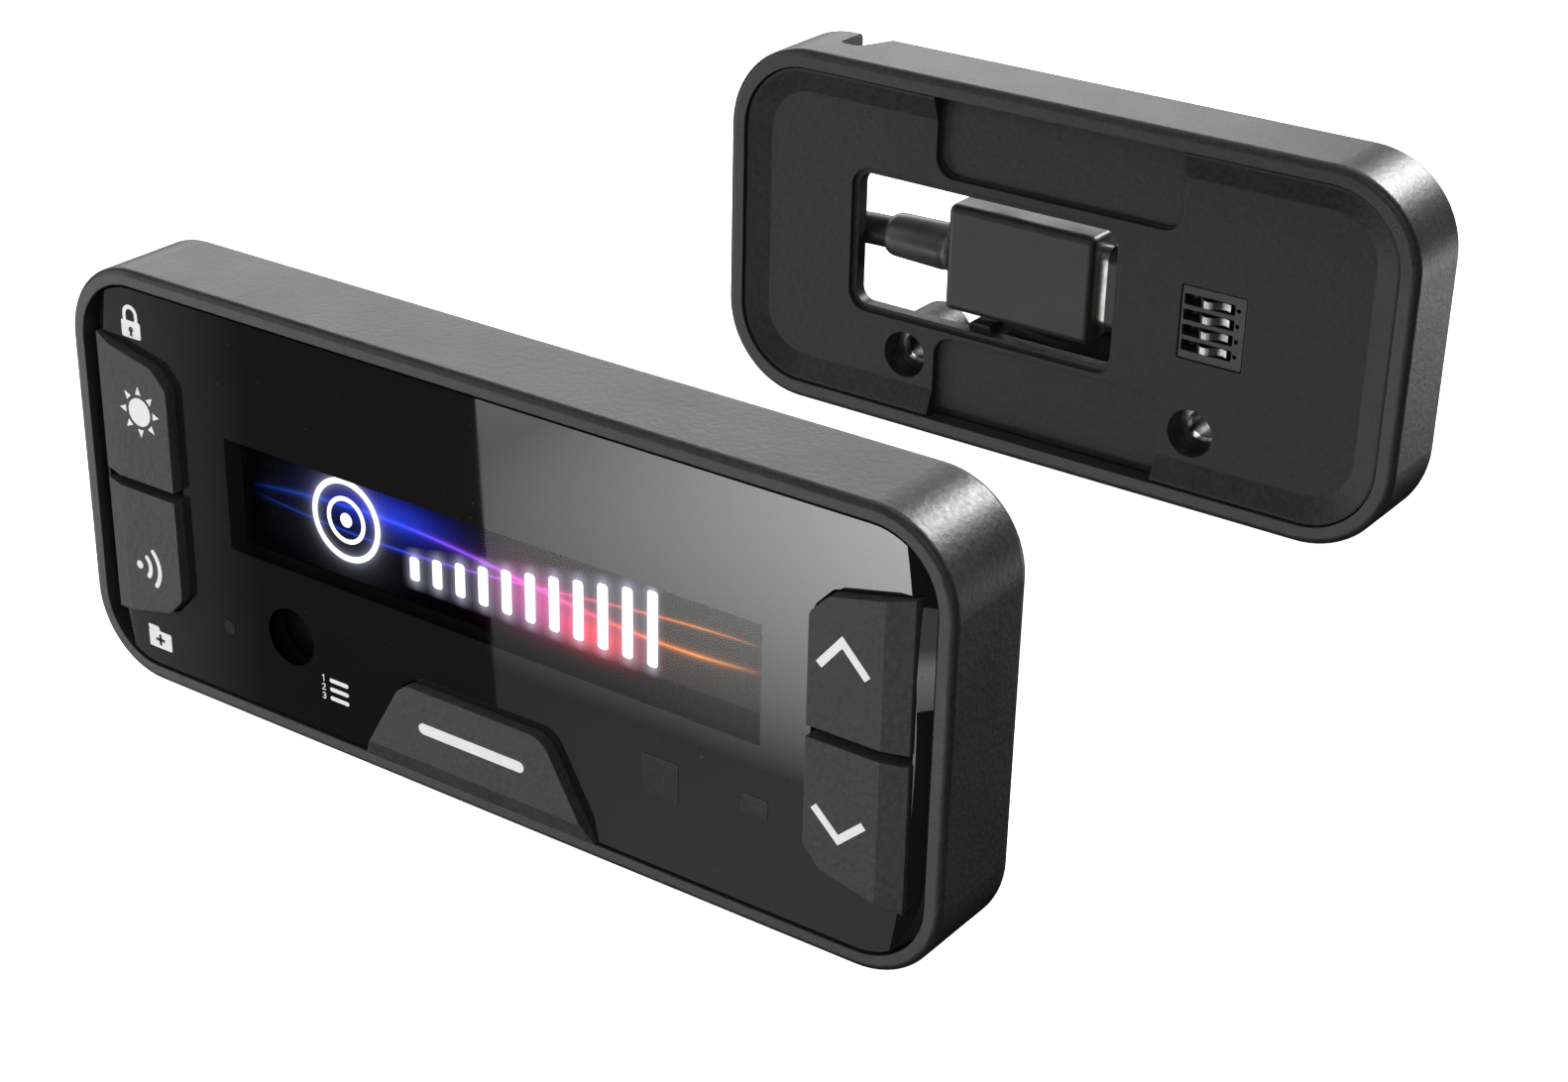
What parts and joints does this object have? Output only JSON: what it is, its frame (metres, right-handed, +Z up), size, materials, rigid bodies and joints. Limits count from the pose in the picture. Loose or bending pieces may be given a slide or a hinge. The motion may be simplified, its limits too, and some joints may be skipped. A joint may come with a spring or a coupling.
{
  "type": "car radar detector display",
  "caption": "Wide slim display head with a smoked lens and press keys that slides back onto a screw-fixed dock with sprung contacts and a plug-in lead.",
  "frame": {"origin": "under the middle of head and dock, at the level that both stand on", "axes": "+X to the viewer's right, +Y from the display face back to the wall side, +Z up"},
  "size_m": [0.084, 0.1414, 0.0364],
  "materials": {
    "casing": "fine moulded texture, dark charcoal",
    "tray": "fine moulded texture, dark charcoal",
    "lens": "polished smoked lens, printed white symbols",
    "keycap": "fine grain, printed white symbols",
    "bezel": "black, flat",
    "display_glass": "dark display glass",
    "display_lit": null,
    "flex": "amber film",
    "board": "green solder mask",
    "chip": "moulded epoxy",
    "sensor": "dark filter",
    "gold": "gold flash over spring bronze",
    "nickel": "nickel plate",
    "steel": "zinc plated steel",
    "connector": "black liquid-crystal polymer",
    "overmould": "satin moulded jacket",
    "cord": "soft satin sheath",
    "tie": "woven hook-and-loop tie"
  },
  "bodies": {
    "head": {"head_housing": "casing", "front_lens": "lens", "inner_bezel": "bezel", "oled_glass": "display_glass", "oled_screen": "display_lit", "oled_flex": "flex", "main_board": "board", "tact_switches": "steel", "processor_chip": "chip", "small_chips": "chip", "buzzer": "chip", "light_sensor": "sensor", "rear_cover": "casing", "head_contacts": "gold", "head_magnets": "nickel", "rear_cover_screws": "steel"},
    "dock": {"dock_frame": "casing", "dock_plate": "tray", "screw_rings": "steel", "dock_keepers": "nickel", "dock_board": "board", "dock_board_screws": "steel", "contact_block": "connector", "usb_socket": "connector", "plug_body": "overmould", "plug_tip": "nickel", "plug_relief": "overmould", "cable_tube": "cord", "cable_tail": "cord", "cable_coil": "cord", "coil_tie": "tie", "far_plug_body": "overmould", "far_plug_tip": "nickel", "far_plug_relief": "overmould"},
    "brightness_key_body": {"brightness_key": "keycap"},
    "sound_key_body": {"sound_key": "keycap"},
    "up_key_body": {"up_key": "keycap"},
    "down_key_body": {"down_key": "keycap"},
    "centre_key_body": {"centre_key": "keycap"},
    "contact_spring_1_body": {"contact_spring_1": "gold"},
    "contact_spring_2_body": {"contact_spring_2": "gold"},
    "contact_spring_3_body": {"contact_spring_3": "gold"},
    "contact_spring_4_body": {"contact_spring_4": "gold"}
  },
  "joints": [
    {"name": "dock_slide", "type": "slide", "parent": "dock", "child": "head", "axis": [0, 1, 0], "range_m": [0, 0.0732]},
    {"name": "brightness_key_press", "type": "slide", "parent": "head", "child": "brightness_key_body", "axis": [0, 1, 0], "range_m": [0, 0.00035], "stiffness_N_per_m": 1500},
    {"name": "sound_key_press", "type": "slide", "parent": "head", "child": "sound_key_body", "axis": [0, 1, 0], "range_m": [0, 0.00035], "stiffness_N_per_m": 1500},
    {"name": "up_key_press", "type": "slide", "parent": "head", "child": "up_key_body", "axis": [0, 1, 0], "range_m": [0, 0.00035], "stiffness_N_per_m": 1500},
    {"name": "down_key_press", "type": "slide", "parent": "head", "child": "down_key_body", "axis": [0, 1, 0], "range_m": [0, 0.00035], "stiffness_N_per_m": 1500},
    {"name": "centre_key_press", "type": "slide", "parent": "head", "child": "centre_key_body", "axis": [0, 1, 0], "range_m": [0, 0.00035], "stiffness_N_per_m": 1500},
    {"name": "contact_1_flex", "type": "hinge", "parent": "dock", "child": "contact_spring_1_body", "pos_m": [0.01496, 0.0399, 0.01593], "axis": [0, 0, 1], "range_deg": [0, 6], "stiffness_Nm_per_rad": 0.005},
    {"name": "contact_2_flex", "type": "hinge", "parent": "dock", "child": "contact_spring_2_body", "pos_m": [0.01496, 0.0399, 0.01742], "axis": [0, 0, 1], "range_deg": [0, 6], "stiffness_Nm_per_rad": 0.005},
    {"name": "contact_3_flex", "type": "hinge", "parent": "dock", "child": "contact_spring_3_body", "pos_m": [0.01496, 0.0399, 0.01893], "axis": [0, 0, 1], "range_deg": [0, 6], "stiffness_Nm_per_rad": 0.005},
    {"name": "contact_4_flex", "type": "hinge", "parent": "dock", "child": "contact_spring_4_body", "pos_m": [0.01496, 0.0399, 0.02042], "axis": [0, 0, 1], "range_deg": [0, 6], "stiffness_Nm_per_rad": 0.005}
  ]
}
